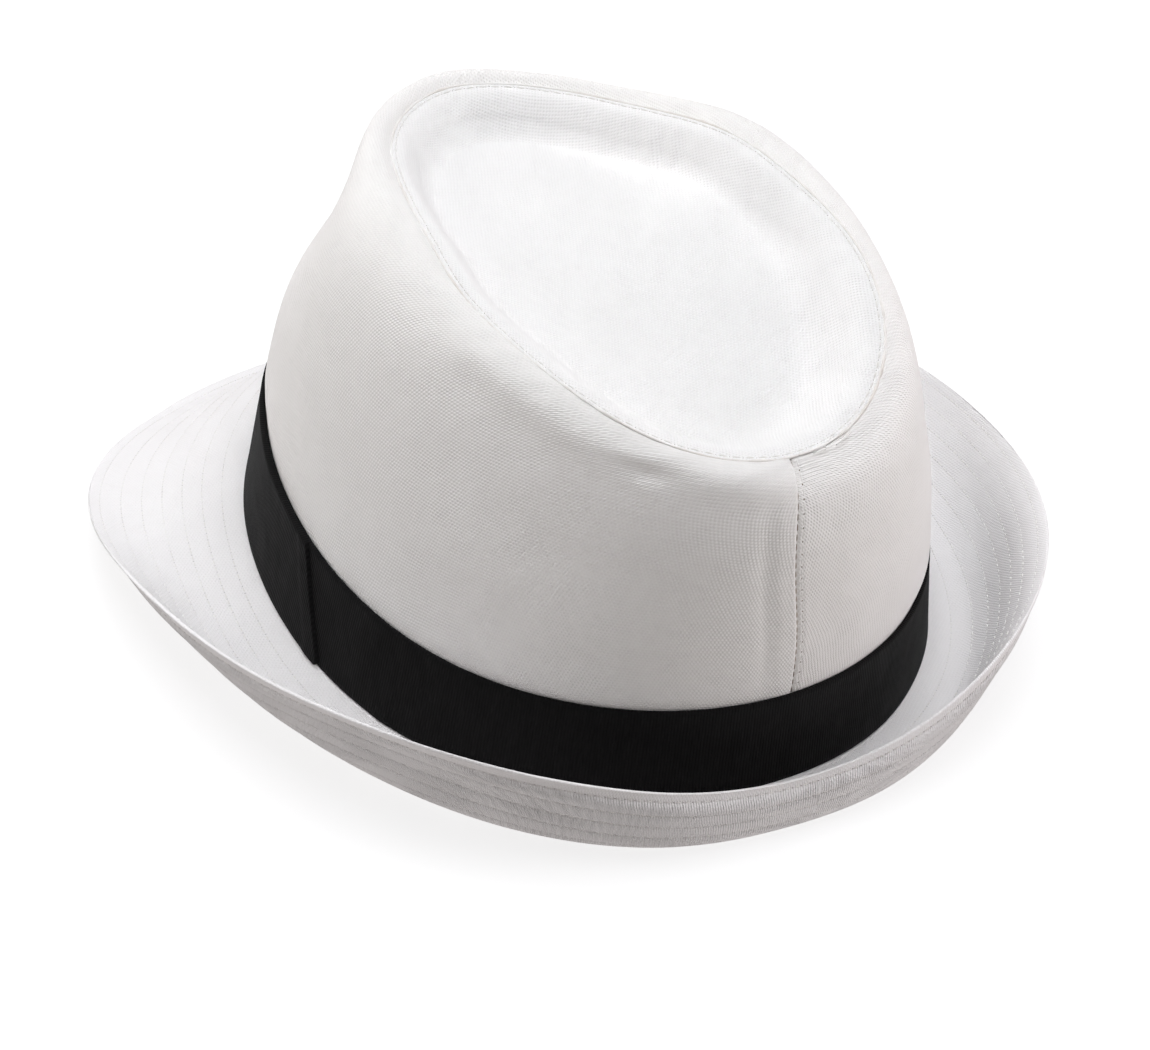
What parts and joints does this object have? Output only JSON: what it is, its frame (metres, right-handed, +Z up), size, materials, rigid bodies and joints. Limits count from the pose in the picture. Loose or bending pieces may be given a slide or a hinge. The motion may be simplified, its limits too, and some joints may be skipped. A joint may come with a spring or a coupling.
{
  "type": "trilby hat",
  "caption": "White cotton trilby with a dished teardrop crown, a stitched brim turned down in front and up behind, and a black ribbon band.",
  "frame": {"origin": "on the table under the middle of the hat's outline", "axes": "+Z up from the table; the front of the hat faces -Y and the back seam +Y; +X is the wearer's left"},
  "size_m": [0.2422, 0.2485, 0.1192],
  "materials": {
    "white_cotton_side": "matt plain weave",
    "white_cotton_top": "matt plain weave",
    "white_cotton_brim": "matt plain weave, rows of stitching",
    "black_ribbon": "matt ribbed ribbon"
  },
  "bodies": {
    "root": {"crown_side": "white_cotton_side", "crown_top": "white_cotton_top", "brim": "white_cotton_brim", "hat_band": "black_ribbon"}
  },
  "joints": []
}
